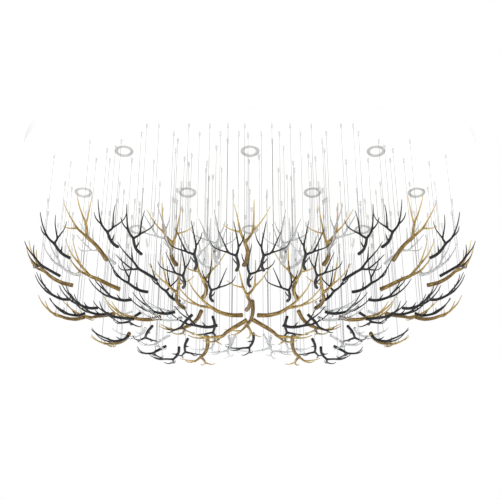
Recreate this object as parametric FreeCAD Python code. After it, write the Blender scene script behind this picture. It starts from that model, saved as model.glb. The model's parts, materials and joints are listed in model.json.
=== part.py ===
import FreeCAD, Part
import itertools
import math
import os

# Hanging chandelier of antler-shaped branches on straight wires, below a flat ceiling canopy with downlights.
# Millimetres. The origin is the middle of the ceiling face, Z is up, the viewer stands toward -Y.
os.makedirs("parts", exist_ok=True)
V = FreeCAD.Vector

# canopy
CANOPY_LENGTH = 2160.0
CANOPY_WIDTH = 1200.0
CANOPY_DEPTH = 60.0
CANOPY_CORNER = 280.0
CANOPY_WALL = 2.0
CANOPY_FLOOR = 3.0
CEILING_GAP = 2.0

# frame that is bolted to the ceiling
RAIL_WIDTH = 30.0
RAIL_HEIGHT = 40.0
RAIL_WALL = 2.5
RAIL_LENGTH = 1560.0
CROSS_RAILS = (-740.0, -450.0, 450.0, 740.0)
BOLT_HOLE = 9.0
BOLT_PLACES = (-690.0, -230.0, 230.0, 690.0)
COVER_SCREW = 5.0
COVER_SCREW_LENGTH = 9.0
COVER_HEAD = 10.0
COVER_HEAD_HEIGHT = 3.0
COVER_HEAD_CROWN = 0.6
COVER_SCREW_PLACES = (-640.0, -320.0, 0.0, 320.0, 640.0)
SCREW_CLEARANCE = 0.2

# rows of wires and how far they may sway
ROWS = 10
ROW_PITCH = 117.0
SWAY = 0.8
SWAY_MARGIN = 1.2
ROW_MATE_GAP = 2.5

# downlights
LAMP_ROW_PITCH = 3 * ROW_PITCH
LAMP_PLACES = {-1: (-600.0, 0.0, 600.0), 0: (-840.0, -315.0, 315.0, 840.0), 1: (-600.0, 0.0, 600.0)}
TRIM_DIAMETER = 90.0
TRIM_OPENING = 60.0
TRIM_HEIGHT = 4.0
TRIM_LIP = (3.0, 1.5)
TRIM_EDGE = (2.5, 1.0)
SLEEVE_DIAMETER = 76.0
SLEEVE_WALL = 3.0
SLEEVE_HEIGHT = 15.0
LAMP_CUTOUT_CLEARANCE = 1.0
LENS_THICKNESS = 3.0
LENS_CLEARANCE = 0.6
SINK_BASE = 14.0
SINK_TOP_GAP = 10.0
FIN_THICKNESS = 2.0
FIN_PITCH = 9.0
FIN_COUNT = 7
FIN_INSET = 1.0
LED_DIAMETER = 28.0
LED_THICKNESS = 3.0
LED_MARGIN = 1.5
REFLECTOR_WALL = 1.0
CLIP_WIDTH = 12.0
CLIP_THICKNESS = 1.0
CLIP_REACH = 18.0
CLIP_FOOT = 5.0
CLIP_SHELF = 7.0
CLIP_KNEE = 3.0
LEAD_DIAMETER = 4.0
LEAD_OFFSET = 14.0
LEAD_CLEARANCE = 0.1
LEAD_BORE_DEPTH = 6.0
LEAD_SINK = 4.0

# wires and their anchors
WIRE_DIAMETER = 1.5
BALL_DIAMETER = 4.6
BALL_MARGIN = 0.12
FERRULE_DIAMETER = 3.0
FERRULE_LENGTH = 9.0
BARREL_DIAMETER = 9.0
BARREL_LENGTH = 24.0
BARREL_MOUTH = 3.0
BARREL_CHAMFER = 1.0
BALL_HEIGHT = 5.0
STUD_DIAMETER = 6.0
STUD_GRIP = 10.0
STUD_ABOVE = 11.0
STUD_CLEARANCE = 0.4
NUT_FLATS = 10.0
NUT_HEIGHT = 5.0
ANCHOR_GAP = 3.0

# how an antler is hung: planes on both sides of the row's line in which its wires are looked for
WIRE_SCATTER = 36.0
WIRE_PLANES = 7
WIDEST_FREE_ANGLE = 200.0
STEEPEST_HANG = 0.7
THINNEST_HANG = 2.1
OWN_LIMB_GAP = 1.0

# electrical pieces
DRIVER_SIZE = (56.0, 220.0, 28.0)
DRIVER_Y = 240.0
DRIVER_EAR = 16.0
DRIVER_EAR_THICKNESS = 3.0
DRIVER_TOP = -8.0
DRIVER_SCREW = 4.0
DRIVER_HEAD_HEIGHT = 3.0
SCREW_END = 3.0
TERMINAL_SIZE = (22.0, 70.0, 20.0)
TERMINAL_Y = -240.0
TERMINAL_TOP = -12.0
TERMINAL_POLES = 5
TERMINAL_PITCH = 12.7
TERMINAL_HOLE = 4.4
TERMINAL_HOLE_DEPTH = 13.2
TERMINAL_HOLE_DROP = 5.0
TERMINAL_SCREW_HOLE = 5.2
TERMINAL_SCREW_DEPTH = 5.0
TERMINAL_SCREW_INSET = 6.0
CLAMP_SIZE = (20.0, 24.0, 12.0)
CLAMP_Y = -330.0
CLAMP_TOP = -10.0
CORD_BORE = 8.2
EARTH_Y = -170.0
EARTH_WASHER = (14.0, 1.5)
EARTH_STUD = (6.0, 16.0)

# the dish that the antlers hang in, as drops below the canopy
CENTRE_DROP = 680.0
END_RISE = 270.0
END_REACH = 985.0
SIDE_RISE = 35.0
SIDE_REACH = 430.0
TIP_DROOP = 24.0
LOWEST_TIP = 100.0

# antlers: length along the heading; every point is (out, across, up, radius), shaped for the stated length
SLENDER_LENGTH = 248.0
BROAD_LENGTH = 330.0
slender = (248.0, {
    "beam": ((0, 1, 4, 7.2), (35, -7, -4, 7.0), (70, -6, -6, 6.6), (105, 0, -4, 6.0), (128, -6, 0, 5.1),
             (150, -9, 6, 4.4), (185, -4, 20, 3.4), (218, 3, 39, 2.6), (248, 10, 64, 1.6)),
    "brow": ((105, 0, -4, 5.5), (112, 16, -2, 5.0), (120, 33, 1, 4.4), (148, 47, 13, 3.5),
             (178, 61, 30, 2.6), (205, 78, 54, 1.6)),
    "outer": ((120, 33, 1, 4.0), (128, 60, 4, 3.4), (138, 90, 12, 2.7), (148, 106, 24, 2.1),
              (158, 114, 40, 1.5)),
    "inner": ((150, -9, 6, 4.0), (164, -20, 13, 3.3), (179, -30, 28, 2.5), (192, -36, 50, 1.6)),
    "spur": ((52, -6, -5, 4.2), (63, 7, 0, 3.0), (76, 17, 10, 1.5)),
})
broad = (330.0, {
    "beam": ((0, 6, 4, 9.8), (45, -6, -5, 9.6), (90, -11, -8, 9.0), (125, -8, -7, 8.4), (155, 0, -4, 7.5),
             (186, -18, 1, 6.0), (215, -32, 8, 5.1), (256, -36, 26, 3.8), (295, -37, 52, 2.9),
             (330, -38, 86, 1.7)),
    "brow": ((155, 0, -4, 6.6), (182, 10, 0, 5.7), (211, 20, 7, 4.9), (247, 28, 26, 3.7),
             (281, 37, 50, 2.7), (310, 48, 80, 1.6)),
    "outer": ((211, 20, 7, 4.4), (216, 46, 10, 3.5), (224, 74, 18, 2.6), (234, 96, 32, 1.6)),
    "inner": ((215, -32, 8, 4.4), (240, -58, 22, 3.4), (270, -84, 44, 2.4), (300, -108, 76, 1.5)),
})

# where each antler hangs: colour, row from the front, distance along the row, heading, hand, extra drop,
# and 2 for a mirror pair or 1 for a single one on the middle line
antler_places = (
    ("black", 1, -66, -90, -1, 55, 2), ("gold", 1, -14, -90, -1, 4, 1), ("gold", 2, -348, -91, 1, -50, 2),
    ("black", 1, -247, -90, -1, 65, 2), ("black", 1, -496, -105, 1, 35, 2), ("black", 3, 6, -90, 1, -25, 1),
    ("black", 3, -325, -88, -1, -15, 2), ("gold", 4, -222, -95, -1, -45, 2),
    ("black", 4, -170, -92, 1, -10, 2), ("gold", 5, -6, -90, -1, -50, 1),
    ("black", 3, -500, -140, -1, 20, 2), ("gold", 5, -345, -98, 1, -30, 2),
    ("black", 2, -612, -112, 1, -50, 2), ("gold", 2, -705, -122, -1, 20, 2),
    ("black", 3, -885, -130, 1, 30, 2), ("black", 6, -254, 176, 1, 0, 2), ("gold", 5, -173, -160, 1, 20, 2),
    ("gold", 6, -120, 140, -1, 45, 2), ("black", 7, -328, 125, -1, 20, 2),
    ("black", 6, -456, 170, 1, 15, 2), ("gold", 7, -555, 165, 1, 25, 2),
    ("black", 5, -565, -150, 1, -30, 2), ("black", 5, -385, -125, 1, -8, 2),
    ("gold", 5, -735, -165, -1, -10, 2), ("black", 6, -1015, -160, -1, 0, 2),
    ("black", 6, -665, 172, 1, 0, 2), ("gold", 7, -1000, -170, 1, 0, 2), ("gold", 8, -309, 128, 1, 7, 2),
    ("black", 8, -190, 90, 1, -24, 2), ("gold", 9, -233, 105, 1, 15, 2), ("black", 9, -10, 90, 1, 8, 1),
    ("black", 9, -524, 115, -1, 31, 2), ("black", 10, -327, 100, -1, 28, 2),
    ("black", 10, -493, 135, -1, 77, 2), ("gold", 7, -4, 96, 1, -40, 1), ("black", 7, -655, 170, -1, 20, 2),
    ("black", 8, -1000, 170, 1, 20, 2), ("black", 8, -590, 130, -1, 10, 2),
    ("black", 8, -800, 155, 1, 20, 2), ("black", 9, -930, 150, 1, 60, 2), ("gold", 10, -690, 130, 1, 80, 2),
    ("gold", 9, -800, 145, -1, 50, 2), ("clear", 1, -150, -90, -1, 0, 2),
    ("clear", 1, -380, -100, -1, 30, 2), ("clear", 2, -150, -100, 1, -60, 2),
    ("clear", 3, -230, -110, 1, -90, 2), ("clear", 3, -690, -135, -1, 10, 2),
    ("clear", 5, -880, -170, 1, 0, 2), ("clear", 6, -420, 165, 1, 10, 2), ("clear", 9, -120, 95, 1, 30, 2),
    ("clear", 10, -190, 95, 1, 0, 2), ("clear", 10, -75, 88, -1, -10, 2),
    ("clear", 7, -400, 140, 1, -60, 2), ("clear", 9, -680, 140, -1, 0, 2),
    ("clear", 8, -450, 135, -1, 20, 2), ("clear", 10, -610, 120, 1, 10, 2),
    ("black", 9, -700, 140, 1, 105, 2), ("gold", 9, -950, 155, 1, 90, 2),
    ("black", 10, -400, 110, 1, 95, 2), ("black", 7, -840, 170, 1, 45, 2),
)

# spacing of the points at which limbs are compared, and size of the cells that sort them
LINE_STEP = 8.0
CELL = 36.0

# an antler that would come too near another is moved, turned or raised by the least that clears it
ASIDE_STEP = 8.0
TURN_STEP = 6.0
DROP_STEP = 12.0
ASIDE_STEPS = 2
TURN_STEPS = 3
RAISE_STEPS = 14
LOWER_STEPS = 7

# heights that several pieces share
underside = -CANOPY_DEPTH
floor_top = underside + CANOPY_FLOOR
ball_z = underside - BARREL_LENGTH + BALL_HEIGHT
rail_y = CANOPY_WIDTH / 2 - CANOPY_WALL - RAIL_WIDTH / 2
cutout_radius = SLEEVE_DIAMETER / 2 + LAMP_CUTOUT_CLEARANCE / 2
lead_z = underside + SLEEVE_HEIGHT + SINK_BASE - LEAD_SINK
sway_gap = (CENTRE_DROP + LOWEST_TIP) * math.sin(math.radians(SWAY)) + SWAY_MARGIN
ball_room = WIRE_SCATTER * math.sin(math.radians(SWAY)) + BALL_MARGIN
sink_radius = SLEEVE_DIAMETER / 2
nut_radius = NUT_FLATS / math.sqrt(3)
anchor_space = 2 * nut_radius + ANCHOR_GAP
trim_room = TRIM_DIAMETER / 2 + nut_radius + ANCHOR_GAP
clip_room = (sink_radius + CLIP_REACH + CLIP_FOOT + nut_radius, CLIP_WIDTH / 2 + nut_radius)
lamps = [(x, line * LAMP_ROW_PITCH) for line, places in LAMP_PLACES.items() for x in places]


def row_y(row):
    return (row - (ROWS + 1) / 2) * ROW_PITCH


def box(x0, x1, y0, y1, z0, z1):
    return Part.makeBox(x1 - x0, y1 - y0, z1 - z0, V(x0, y0, z0))


def turned(profile):
    # solid of revolution about Z from points (radius, height)
    points = [V(r, 0, z) for r, z in profile]
    face = Part.Face(Part.makePolygon(points + [points[0]]))
    return face.revolve(V(0, 0, 0), V(0, 0, 1), 360)


def rounded_outline(length, width, corner, z):
    x = length / 2 - corner
    y = width / 2 - corner
    edges = []
    for cx, cy, start in ((x, y, 0), (-x, y, 90), (-x, -y, 180), (x, -y, 270)):
        edges.append(Part.makeCircle(corner, V(cx, cy, z), V(0, 0, 1), start, start + 90))
    ends = []
    for i in range(4):
        a = edges[i].Vertexes[-1].Point
        b = edges[(i + 1) % 4].Vertexes[0].Point
        ends += [edges[i], Part.makeLine(a, b)]
    return Part.Wire(ends)


def ring_wire(x, y, z, radius):
    return Part.Wire(Part.makeCircle(radius, V(x, y, z), V(0, 0, 1)))


def hexagon(x, y, z, flats, height, bore):
    corner = flats / math.sqrt(3)
    points = [V(x + corner * math.cos(math.radians(60 * i)), y + corner * math.sin(math.radians(60 * i)), z)
              for i in range(7)]
    face = Part.makeFace([Part.makePolygon(points), ring_wire(x, y, z, bore)], "Part::FaceMakerBullseye")
    return face.extrude(V(0, 0, height))


def moved(shape, x, y, z=0.0):
    copy = shape.copy()
    copy.translate(V(x, y, z))
    return copy


def save(name, solids):
    shape = solids[0] if len(solids) == 1 else Part.makeCompound(solids)
    shape.exportStep("parts/" + name + ".step")


def smooth_line(points, step):
    # a curve through the points, with the radius carried along
    line = []
    for i in range(len(points) - 1):
        a = points[max(i - 1, 0)]
        b = points[i]
        c = points[i + 1]
        d = points[min(i + 2, len(points) - 1)]
        count = max(1, int(math.ceil(math.dist(b[:3], c[:3]) / step)))
        for k in range(count):
            t = k / count
            line.append(tuple(
                0.5 * (2 * b[j] + (c[j] - a[j]) * t + (2 * a[j] - 5 * b[j] + 4 * c[j] - d[j]) * t * t
                       + (3 * b[j] - a[j] - 3 * c[j] + d[j]) * t ** 3) for j in range(4)))
    line.append(points[-1])
    return line


def sized(pattern, length):
    scale = length / pattern[0]
    return {name: [tuple(scale * v for v in p) for p in points] for name, points in pattern[1].items()}


def branch_solid(points):
    # round sections square to the branch, joined straight from one to the next into a tapering limb
    wires = []
    for i, p in enumerate(points):
        a = points[max(i - 1, 0)]
        b = points[min(i + 1, len(points) - 1)]
        along = V(b[0] - a[0], b[1] - a[1], b[2] - a[2])
        circle = Part.Wire(Part.makeCircle(p[3]))
        circle.Placement = FreeCAD.Placement(V(p[0], p[1], p[2]), FreeCAD.Rotation(V(0, 0, 1), along))
        wires.append(circle)
    return Part.makeLoft(wires, True, True)


def antler_solid(limbs):
    return limbs[0].multiFuse(limbs[1:]).Solids[0]


def dish_drop(x, y):
    return CENTRE_DROP - END_RISE * (x / END_REACH) ** 2 - SIDE_RISE * (y / SIDE_REACH) ** 2


def dish_lift(x, y, heading):
    # the dish's own slope along the heading; what points away from the viewer lets its tips droop
    a = math.radians(heading)
    along = 2 * END_RISE * x / END_REACH ** 2 * math.cos(a)
    aside = 2 * SIDE_RISE * y / SIDE_REACH ** 2 * math.sin(a)
    return math.degrees(math.atan(along + aside)) - TIP_DROOP * max(0.0, math.sin(a))


def hung_lines(lines, middle_point, place, heading, lift, hand):
    a = math.radians(heading)
    b = math.radians(lift)
    out = (math.cos(b) * math.cos(a), math.cos(b) * math.sin(a), math.sin(b))
    across = (-math.sin(a), math.cos(a), 0.0)
    up = (-math.sin(b) * math.cos(a), -math.sin(b) * math.sin(a), math.cos(b))
    hung = []
    for line in lines:
        points = []
        for p in line:
            d = (p[0] - middle_point[0], hand * (p[1] - middle_point[1]), p[2] - middle_point[2])
            points.append(tuple(place[j] + d[0] * out[j] + d[1] * across[j] + d[2] * up[j] for j in range(3))
                          + (p[3],))
        hung.append(points)
    return hung


def hang_points(lines, y):
    # where limbs cross the planes beside the row's line, thick and flat enough for a wire
    found = []
    for i in range(WIRE_PLANES):
        plane = y + WIRE_SCATTER * (2 * i / (WIRE_PLANES - 1) - 1)
        for points in lines:
            for a, b in zip(points[1:], points[2:]):
                if (a[1] - plane) * (b[1] - plane) > 0 or a[1] == b[1]:
                    continue
                t = (plane - a[1]) / (b[1] - a[1])
                p = tuple(a[j] + t * (b[j] - a[j]) for j in range(4))
                steep = abs(b[2] - a[2]) / math.dist(a[:3], b[:3])
                if p[3] > THINNEST_HANG and steep < STEEPEST_HANG:
                    found.append(p)
    return found


def hang_pair(found, middle):
    # the widest two between which the balance point lies
    pairs = [pair for pair in itertools.combinations(found, 2) if balanced(pair, middle)]
    return list(max(pairs, key=lambda pair: math.dist(pair[0][:2], pair[1][:2]), default=()))


def balanced(hangs, middle):
    # seen from the balance point, the wires leave no more than about half a circle free
    turns = sorted(math.atan2(h[1] - middle[1], h[0] - middle[0]) for h in hangs)
    free = [b - a for a, b in zip(turns, turns[1:] + [turns[0] + 2 * math.pi])]
    return max(free) < math.radians(WIDEST_FREE_ANGLE)


def wire_touches(hang, limb, gap):
    # a wire goes straight up, so what reaches above its foot is tested from the side
    above = limb[2] + limb[3] > hang[2]
    return above and math.dist(hang[:2], limb[:2]) < limb[3] + WIRE_DIAMETER / 2 + gap


def fouls_itself(hang, limbs):
    top = hang[2] + hang[3] + FERRULE_DIAMETER
    return any(p[2] > top and wire_touches(hang, p, OWN_LIMB_GAP) for p in limbs)


# space already taken, kept in cells so that only near things are compared
around = {axes: list(itertools.product((-1, 0, 1), repeat=axes)) for axes in (2, 3)}
limb_cells = {}
column_cells = {}
wire_cells = {}


def cell_of(p, axes):
    return tuple(int(p[j] // CELL) for j in range(axes))


def near(cells, p, axes):
    home = cell_of(p, axes)
    for step in around[axes]:
        yield from cells.get(tuple(h + s for h, s in zip(home, step)), ())


def take(limbs, hangs, row, antler):
    for p in limbs:
        limb_cells.setdefault(cell_of(p, 3), []).append(p + (row, antler))
        column_cells.setdefault(cell_of(p, 2), []).append(p + (row, antler))
    for h in hangs:
        wire_cells.setdefault(cell_of(h, 2), []).append(h + (row, antler))


def gap_between(row, other):
    return ROW_MATE_GAP if row == other else sway_gap


def limbs_free(limbs, row):
    for p in limbs:
        for q in near(limb_cells, p, 3):
            if math.dist(p[:3], q[:3]) < p[3] + q[3] + gap_between(row, q[4]):
                return False
        if any(wire_touches(h, p, gap_between(row, h[4])) for h in near(wire_cells, p, 2)):
            return False
    return True


def clears_lamp(hang, lamp):
    # the anchor stays off the trim ring below the tray and off the clips above it
    aside = (abs(hang[0] - lamp[0]), abs(hang[1] - lamp[1]))
    return math.hypot(*aside) > trim_room and (aside[0] > clip_room[0] or aside[1] > clip_room[1])


def inside_canopy(hang):
    # the anchor keeps its room from the tray's edge, also at the round corners
    x = max(abs(hang[0]) - CANOPY_LENGTH / 2 + CANOPY_CORNER, 0.0)
    y = max(abs(hang[1]) - CANOPY_WIDTH / 2 + CANOPY_CORNER, 0.0)
    return math.hypot(x, y) < CANOPY_CORNER - CANOPY_WALL - nut_radius - ANCHOR_GAP


def wire_free(hang, row, antler):
    if not inside_canopy(hang):
        return False
    for p in near(column_cells, hang, 2):
        if p[5] != antler and wire_touches(hang, p, gap_between(row, p[4])):
            return False
    if any(math.dist(hang[:2], h[:2]) < anchor_space for h in near(wire_cells, hang, 2)):
        return False
    return all(clears_lamp(hang, lamp) for lamp in lamps)


def mirrored(spots):
    return [(-p[0],) + p[1:] for p in spots]


def limbs_clear_mirror(limbs):
    close = [p for p in limbs if abs(p[0]) < CELL]
    pairs = itertools.product(close, mirrored(close))
    return all(math.dist(p[:3], q[:3]) >= p[3] + q[3] + ROW_MATE_GAP for p, q in pairs)


def wire_clears_mirror(hang, limbs):
    if 2 * abs(hang[0]) < anchor_space:
        return False
    close = [p for p in limbs if abs(p[0]) < CELL]
    return not any(wire_touches(hang, p, ROW_MATE_GAP) for p in mirrored(close))


tries = []
for aside in range(-ASIDE_STEPS, ASIDE_STEPS + 1):
    for turn in range(-TURN_STEPS, TURN_STEPS + 1):
        for down in range(-RAISE_STEPS, LOWER_STEPS + 1):
            tries.append((abs(aside) + 2 * abs(turn) + abs(down), abs(turn), abs(aside), aside, turn, down))
tries.sort()

patterns = {"black": sized(slender, SLENDER_LENGTH), "gold": sized(broad, BROAD_LENGTH)}
patterns["clear"] = patterns["black"]
limbs_of = {c: [branch_solid(points) for points in patterns[c].values()] for c in ("black", "gold")}
limbs_of["clear"] = limbs_of["black"]
solids = {"black": antler_solid(limbs_of["black"]), "gold": antler_solid(limbs_of["gold"])}
solids["clear"] = solids["black"]
lines_of = {}
for colour, branches in patterns.items():
    lines_of[colour] = [smooth_line(points, LINE_STEP) for points in branches.values()]
balance_of = {c: tuple(s.CenterOfMass) for c, s in solids.items()}


def free_hangs(lines, row, antler, paired):
    limbs = [p for line in lines for p in line]
    found = [h for h in hang_points(lines, row_y(row)) if not fouls_itself(h, limbs)]
    found = [h for h in found if wire_free(h, row, antler)]
    return [h for h in found if not paired or wire_clears_mirror(h, limbs)]


def settle(antler):
    # the first place that is free and lets the antler hang level from two wires
    colour, row, x0, heading0, hand, extra, count = antler_places[antler]
    y = row_y(row)
    for _, _, _, aside, turn, down in tries:
        x = x0 + ASIDE_STEP * aside
        heading = heading0 + TURN_STEP * turn
        z = underside - (dish_drop(x, y) + extra + DROP_STEP * down)
        lift = dish_lift(x, y, heading)
        lines = hung_lines(lines_of[colour], balance_of[colour], (x, y, z), heading, lift, hand)
        limbs = [p for line in lines for p in line]
        if not limbs_free(limbs, row) or (count == 2 and not limbs_clear_mirror(limbs)):
            continue
        hangs = hang_pair(free_hangs(lines, row, antler, count == 2), (x, y))
        if hangs:
            take_both(limbs, hangs, antler)
            return {"hanging": ((x, y, z), heading, lift, hand), "lines": lines, "hangs": hangs}
    return None


def take_both(limbs, hangs, antler):
    row = antler_places[antler][1]
    take(limbs, hangs, row, antler)
    if antler_places[antler][6] == 2:
        take(mirrored(limbs), mirrored(hangs), row, len(antler_places) + antler)


def hung_solid(shape, mid, place, heading, lift, hand):
    shape = shape.copy()
    shape.translate(V(-mid[0], -mid[1], -mid[2]))
    if hand < 0:
        shape = shape.mirror(V(0, 0, 0), V(0, 1, 0))
    shape.rotate(V(0, 0, 0), V(0, 1, 0), -lift)
    shape.rotate(V(0, 0, 0), V(0, 0, 1), heading)
    shape.translate(V(*place))
    return shape


def wire_solid(hang, limbs):
    # ball at the top, plain wire, ferrule whose foot is shaped to the limb it is fixed to
    ball = BALL_DIAMETER / 2
    wire = WIRE_DIAMETER / 2
    ferrule = FERRULE_DIAMETER / 2
    foot = hang[2]
    shoulder = hang[2] + hang[3] + FERRULE_LENGTH
    neck = ball_z - math.sqrt(ball ** 2 - wire ** 2)
    side = math.radians(-20)
    arc = Part.Arc(V(0, 0, ball_z + ball), V(ball * math.cos(side), 0, ball_z + ball * math.sin(side)),
                   V(wire, 0, neck)).toShape()
    corners = [V(wire, 0, neck), V(wire, 0, shoulder), V(ferrule, 0, shoulder), V(ferrule, 0, foot),
               V(0, 0, foot), V(0, 0, ball_z + ball)]
    edges = [arc] + [Part.makeLine(a, b) for a, b in zip(corners, corners[1:])]
    shape = Part.Face(Part.Wire(edges)).revolve(V(0, 0, 0), V(0, 0, 1), 360)
    shape.translate(V(hang[0], hang[1], 0))
    for limb in limbs:
        shape = max(shape.cut(limb).Solids, key=lambda s: s.BoundBox.ZMax)
    return shape


def near_limbs(hang, lines):
    reach = FERRULE_DIAMETER + FERRULE_LENGTH
    gaps = [min(math.dist(p[:3], hang[:3]) - p[3] for p in line) for line in lines]
    return [i for i, gap in enumerate(gaps) if gap < reach]


def across_middle(shape):
    return shape.mirror(V(0, 0, 0), V(1, 0, 0))


places = {}
for antler in range(len(antler_places)):
    place = settle(antler)
    if place:
        places[antler] = place

row_parts = {}
anchors = []
for antler, place in places.items():
    colour, row, count = (antler_places[antler][i] for i in (0, 1, 6))
    hangs = place["hangs"]
    hanging = (balance_of[colour],) + place["hanging"]
    antlers = [hung_solid(solids[colour], *hanging)]
    wires = []
    for h in hangs:
        near_by = near_limbs(h, place["lines"])
        wires.append(wire_solid(h, [hung_solid(limbs_of[colour][i], *hanging) for i in near_by]))
    anchors += [(h[0], h[1]) for h in hangs]
    if count == 2:
        antlers.append(across_middle(antlers[0]))
        wires += [across_middle(w) for w in wires]
        anchors += [(-h[0], h[1]) for h in hangs]
    row_parts.setdefault((row, colour + "_antlers"), []).extend(antlers)
    row_parts.setdefault((row, "wires"), []).extend(wires)
for (row, kind), shapes in sorted(row_parts.items()):
    save("row_%d_%s" % (row, kind), shapes)

# canopy: a shallow white tray, open toward the ceiling
stud_hole = (STUD_DIAMETER + STUD_CLEARANCE) / 2
rims = [rounded_outline(CANOPY_LENGTH, CANOPY_WIDTH, CANOPY_CORNER, underside)]
rims += [ring_wire(x, y, underside, stud_hole) for x, y in anchors]
rims += [ring_wire(x, y, underside, cutout_radius) for x, y in lamps]
tray = Part.makeFace(rims, "Part::FaceMakerBullseye").extrude(V(0, 0, CANOPY_FLOOR))
inset = 2 * CANOPY_WALL
outside = rounded_outline(CANOPY_LENGTH, CANOPY_WIDTH, CANOPY_CORNER, floor_top)
inside = rounded_outline(CANOPY_LENGTH - inset, CANOPY_WIDTH - inset, CANOPY_CORNER - CANOPY_WALL, floor_top)
walls = Part.makeFace([outside, inside], "Part::FaceMakerBullseye")
walls = walls.extrude(V(0, 0, -CEILING_GAP - floor_top))
cover_z = -RAIL_HEIGHT / 2
cover_hole = (COVER_SCREW + SCREW_CLEARANCE) / 2
cover_holes = []
for x in COVER_SCREW_PLACES:
    start = V(x, -CANOPY_WIDTH / 2 - 1, cover_z)
    cover_holes.append(Part.makeCylinder(cover_hole, CANOPY_WIDTH + 2, start, V(0, 1, 0)))
walls = walls.cut(Part.makeCompound(cover_holes))
save("canopy_pan", [tray.fuse(walls).removeSplitter().Solids[0]])

# frame: two long tubes and four cross tubes welded together
half = RAIL_WIDTH / 2
hollow = half - RAIL_WALL
hollow_foot = -RAIL_HEIGHT + RAIL_WALL
outer = []
inner = []
for side in (-1, 1):
    y = side * rail_y
    outer.append(box(-RAIL_LENGTH / 2, RAIL_LENGTH / 2, y - half, y + half, -RAIL_HEIGHT, 0))
    inner.append(box(-RAIL_LENGTH / 2, RAIL_LENGTH / 2, y - hollow, y + hollow, hollow_foot, -RAIL_WALL))
for x in CROSS_RAILS:
    outer.append(box(x - half, x + half, -rail_y, rail_y, -RAIL_HEIGHT, 0))
    inner.append(box(x - hollow, x + hollow, half - rail_y, rail_y - half, hollow_foot, -RAIL_WALL))
frame = outer[0].multiFuse(outer[1:])
drills = list(inner)
for x in BOLT_PLACES:
    for side in (-1, 1):
        start = V(x, side * rail_y, -RAIL_HEIGHT - 1)
        drills.append(Part.makeCylinder(BOLT_HOLE / 2, RAIL_HEIGHT + 2, start))
for x in COVER_SCREW_PLACES:
    for side in (-1, 1):
        start = V(x, side * (rail_y + half + 1), cover_z)
        drills.append(Part.makeCylinder(cover_hole, RAIL_WALL + 2, start, V(0, -side, 0)))

# lamp leads run straight from each heat sink to the nearest tube
lead_hole = (LEAD_DIAMETER + LEAD_CLEARANCE) / 2
edge = math.sqrt(sink_radius ** 2 - LEAD_OFFSET ** 2)
leads = []
lead_bores = {}
for x, y in lamps:
    if y != 0:
        side = 1 if y > 0 else -1
        start = V(x + LEAD_OFFSET, y + side * (edge - LEAD_BORE_DEPTH), lead_z)
        reach = abs(side * (rail_y - hollow) - start.y)
        way = V(0, side, 0)
    else:
        rail = min(CROSS_RAILS, key=lambda c: abs(c - x))
        side = 1 if rail > x else -1
        start = V(x + side * (edge - LEAD_BORE_DEPTH), y + LEAD_OFFSET, lead_z)
        reach = abs(rail - side * hollow - start.x)
        way = V(side, 0, 0)
    leads.append(Part.makeCylinder(LEAD_DIAMETER / 2, reach, start, way))
    bore = Part.makeCylinder(lead_hole, reach + 1, start, way)
    lead_bores[(x, y)] = bore
    drills.append(bore)
save("lamp_leads", leads)

# drivers, terminals, cord clamp and earth stud sit on the cross tubes
drivers = []
driver_screws = []
wide, long, tall = DRIVER_SIZE
ear_z = DRIVER_TOP - tall / 2
for side in (-1, 1):
    face_x = side * (CROSS_RAILS[2] - half)
    x0, x1 = sorted((face_x, face_x - side * wide))
    body = box(x0, x1, DRIVER_Y - long / 2, DRIVER_Y + long / 2, DRIVER_TOP - tall, DRIVER_TOP)
    e0, e1 = sorted((face_x, face_x - side * DRIVER_EAR_THICKNESS))
    body = body.fuse(box(e0, e1, DRIVER_Y - long / 2 - DRIVER_EAR, DRIVER_Y + long / 2 + DRIVER_EAR,
                         DRIVER_TOP - tall, DRIVER_TOP)).removeSplitter()
    for end in (-1, 1):
        y = DRIVER_Y + end * (long / 2 + DRIVER_EAR / 2)
        seat = face_x - side * DRIVER_EAR_THICKNESS
        grip = DRIVER_EAR_THICKNESS + RAIL_WALL
        way = V(side, 0, 0)
        hole_radius = (DRIVER_SCREW + SCREW_CLEARANCE) / 2
        hole = Part.makeCylinder(hole_radius, grip + 2, V(seat - side, y, ear_z), way)
        body = body.cut(hole)
        drills.append(hole)
        head_start = V(seat - side * DRIVER_HEAD_HEIGHT, y, ear_z)
        head = Part.makeCylinder(DRIVER_SCREW, DRIVER_HEAD_HEIGHT, head_start, way)
        shank = Part.makeCylinder(DRIVER_SCREW / 2, grip + SCREW_END, V(seat, y, ear_z), way)
        driver_screws.append(head.fuse(shank).removeSplitter())
    drivers.append(body.Solids[0])
save("led_drivers", drivers)
save("driver_screws", driver_screws)

face_x = CROSS_RAILS[1] + half
wide, long, tall = TERMINAL_SIZE
terminal_foot = TERMINAL_TOP - tall
block = box(face_x, face_x + wide, TERMINAL_Y - long / 2, TERMINAL_Y + long / 2, terminal_foot, TERMINAL_TOP)
for i in range(TERMINAL_POLES):
    y = TERMINAL_Y + (i - (TERMINAL_POLES - 1) / 2) * TERMINAL_PITCH
    wire_end = V(face_x + wide, y, TERMINAL_TOP - TERMINAL_HOLE_DROP)
    screw_end = V(face_x + wide - TERMINAL_SCREW_INSET, y, terminal_foot)
    block = block.cut(Part.makeCylinder(TERMINAL_HOLE / 2, TERMINAL_HOLE_DEPTH, wire_end, V(-1, 0, 0)))
    block = block.cut(Part.makeCylinder(TERMINAL_SCREW_HOLE / 2, TERMINAL_SCREW_DEPTH, screw_end))
save("terminal_block", [block.Solids[0]])

wide, long, tall = CLAMP_SIZE
clamp = box(face_x, face_x + wide, CLAMP_Y - long / 2, CLAMP_Y + long / 2, CLAMP_TOP - tall, CLAMP_TOP)
bore_start = V(face_x + wide / 2, CLAMP_Y, CLAMP_TOP - tall - 1)
clamp = clamp.cut(Part.makeCylinder(CORD_BORE / 2, tall + 2, bore_start))
save("mains_clamp", [clamp.Solids[0]])

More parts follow.
